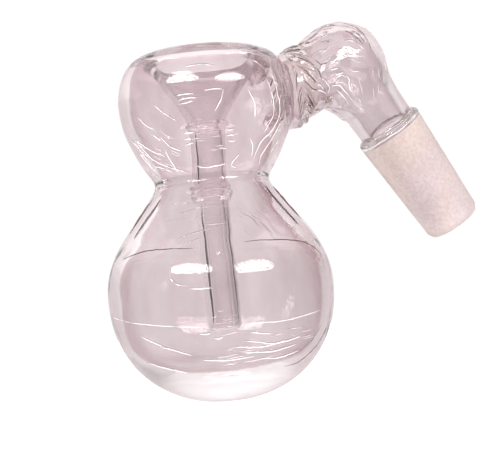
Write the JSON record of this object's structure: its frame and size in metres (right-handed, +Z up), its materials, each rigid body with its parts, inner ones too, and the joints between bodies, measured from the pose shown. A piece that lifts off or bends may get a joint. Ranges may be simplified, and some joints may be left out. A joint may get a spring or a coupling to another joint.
{
  "type": "laboratory glass gas trap",
  "caption": "Blown glass trap: two stacked bulbs with an open bowl and long stem inside, and a bent side arm ending in a frosted ground cone.",
  "frame": {"origin": "centre of the ground cone's large end, on the cone's axis", "axes": "+Z up along the gourd's axis, +X from the gourd out along the side arm, +Y completes the right-handed frame and is square to the arm's plane"},
  "size_m": [0.083, 0.0458, 0.0767],
  "materials": {
    "clear_glass": "clear mauve borosilicate glass, polished",
    "weld_glass": "clear mauve glass, rippled where it was flame-welded",
    "ground_glass": "ground and frosted outside, clear bore"
  },
  "bodies": {
    "root": {"lower_chamber": "clear_glass", "waist_weld": "weld_glass", "upper_chamber": "clear_glass", "mouth_rim": "clear_glass", "bowl_funnel": "clear_glass", "bowl_throat": "weld_glass", "upper_stem": "clear_glass", "stem_weld": "weld_glass", "lower_stem": "clear_glass", "arm_socket": "clear_glass", "arm_weld": "weld_glass", "elbow_tube": "clear_glass", "joint_shoulder": "weld_glass", "ground_cone": "ground_glass"}
  },
  "joints": []
}
